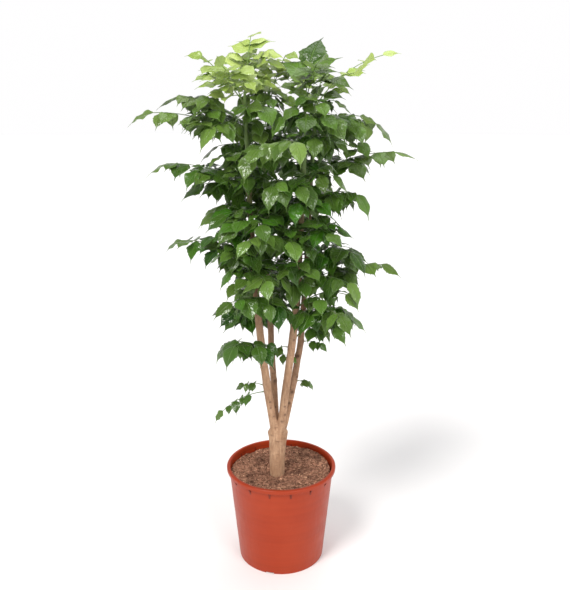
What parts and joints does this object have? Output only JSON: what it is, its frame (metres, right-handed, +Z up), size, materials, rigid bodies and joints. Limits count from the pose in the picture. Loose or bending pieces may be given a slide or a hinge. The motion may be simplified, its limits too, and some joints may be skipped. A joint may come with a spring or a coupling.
{
  "type": "potted radermachera",
  "caption": "Potted foliage tree: a ribbed-rim plastic nursery pot of soil, a short trunk that divides into slim bare stems, and a tall layered crown of twice-divided glossy leaves.",
  "frame": {"origin": "the middle of the pot's underside, on the surface that the pot stands on", "axes": "+Z up along the pot's axis, -Y towards the side that the picture shows, +X to its right"},
  "size_m": [0.7257, 0.5279, 1.4417],
  "materials": {
    "pot": "orange-brown moulded plastic, half gloss, with faint level bands from the mould",
    "soil": "matte dark potting mix of fine bark and peat with light chips",
    "bark": "matte tan bark, browner higher up, with fine furrows and dark leaf scars",
    "shoot": "smooth green young stem",
    "leaf": "glossy dark green leaflets with a paler midrib and green stalks",
    "young_leaf": "glossy light green young leaflets with green stalks"
  },
  "bodies": {
    "root": {"leaf_01": "leaf", "leaf_02": "leaf", "leaf_03": "leaf", "leaf_04": "leaf", "leaf_05": "leaf", "leaf_06": "leaf", "leaf_07": "leaf", "leaf_08": "leaf", "leaf_09": "leaf", "leaf_10": "leaf", "leaf_11": "leaf", "leaf_12": "leaf", "leaf_13": "leaf", "leaf_14": "leaf", "leaf_15": "leaf", "leaf_16": "leaf", "leaf_17": "leaf", "leaf_18": "leaf", "leaf_19": "leaf", "leaf_20": "leaf", "leaf_21": "leaf", "leaf_22": "leaf", "leaf_23": "leaf", "leaf_24": "leaf", "leaf_25": "leaf", "leaf_26": "leaf", "leaf_27": "leaf", "leaf_28": "leaf", "leaf_29": "leaf", "leaf_30": "leaf", "pot": "pot", "shoot_a": "shoot", "shoot_b": "shoot", "shoot_c": "shoot", "shoot_d": "shoot", "side_leaf_01": "leaf", "side_leaf_02": "leaf", "side_leaf_03": "leaf", "side_leaf_04": "leaf", "side_leaf_05": "leaf", "side_leaf_06": "leaf", "soil": "soil", "sprig_01": "leaf", "sprig_02": "leaf", "sprig_03": "leaf", "sprig_04": "leaf", "sprig_05": "leaf", "sprig_06": "leaf", "top_leaf_01": "young_leaf", "top_leaf_02": "young_leaf", "top_leaf_03": "young_leaf", "top_leaf_04": "young_leaf", "top_leaf_05": "young_leaf", "top_leaf_06": "young_leaf", "top_leaf_07": "young_leaf", "top_leaf_08": "young_leaf", "top_leaf_09": "young_leaf", "top_leaf_10": "young_leaf", "trunk": "bark"}
  },
  "joints": []
}
